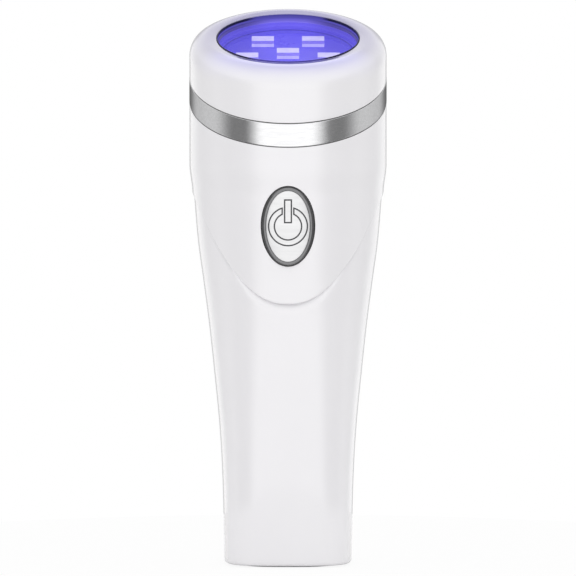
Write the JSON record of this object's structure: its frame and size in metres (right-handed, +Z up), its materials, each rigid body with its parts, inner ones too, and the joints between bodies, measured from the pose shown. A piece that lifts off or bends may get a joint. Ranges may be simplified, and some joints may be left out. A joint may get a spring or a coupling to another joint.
{
  "type": "acne light therapy device",
  "caption": "Handheld blue light skin device: a tilted round lit window in a domed head with a bright band, on a flared handle with an oval power button.",
  "frame": {"origin": "middle of the underside of the foot", "axes": "+Z up along the handle, +X to the right of someone facing the button, and the button and the lower rim of the head face -Y"},
  "size_m": [0.0462, 0.0462, 0.1288],
  "materials": {
    "white_plastic": "glossy white moulded plastic",
    "inner_plastic": "satin white inner moulding",
    "black_seal": "soft black seal",
    "clear_lens": "clear polished window",
    "reflector": "bright plated cup",
    "board_white": "white solder mask",
    "led": "lit blue violet emitter",
    "sink_aluminium": "plain extruded",
    "ring_chrome": "polished bright band",
    "steel": "nickel plated",
    "bezel_chrome": "dark polished rim",
    "button_silver": "satin silver lacquer",
    "grey_silicone": "soft grey silicone",
    "black_plastic": "plain black",
    "board_green": "green solder mask",
    "cell_jacket": "plain dark sleeve"
  },
  "bodies": {
    "housing": {"head_bezel": "white_plastic", "lens_gasket": "black_seal", "lens": "clear_lens", "reflector_cup": "reflector", "led_board": "board_white", "led_1": "led", "led_2": "led", "led_3": "led", "led_4": "led", "led_5": "led", "led_6": "led", "heat_sink": "sink_aluminium", "chrome_ring": "ring_chrome", "upper_housing": "white_plastic", "handle_front_shell": "white_plastic", "handle_rear_shell": "white_plastic", "neck_liner": "inner_plastic", "shell_screw_1": "steel", "shell_screw_2": "steel", "button_bezel": "bezel_chrome", "tact_switch": "black_plastic", "control_board": "board_green", "battery_tray": "inner_plastic", "battery_1": "cell_jacket", "battery_2": "cell_jacket", "contact_plate_1": "steel", "contact_plate_2": "steel", "contact_plate_3": "steel", "contact_plate_4": "steel", "contact_spring_1": "steel", "contact_spring_2": "steel", "foot_cap": "white_plastic", "foot_pad": "grey_silicone"},
    "button": {"power_button": "button_silver", "button_pad": "grey_silicone", "switch_plunger": "black_plastic"},
    "door": {"battery_door": "white_plastic"}
  },
  "joints": [
    {"name": "button_press", "type": "slide", "parent": "housing", "child": "button", "axis": [0, 0.9959, 0.0905], "range_m": [0, 0.0008], "stiffness_N_per_m": 2000},
    {"name": "door_lift", "type": "slide", "parent": "housing", "child": "door", "axis": [0, 1, 0], "range_m": [0, 0.026]}
  ]
}
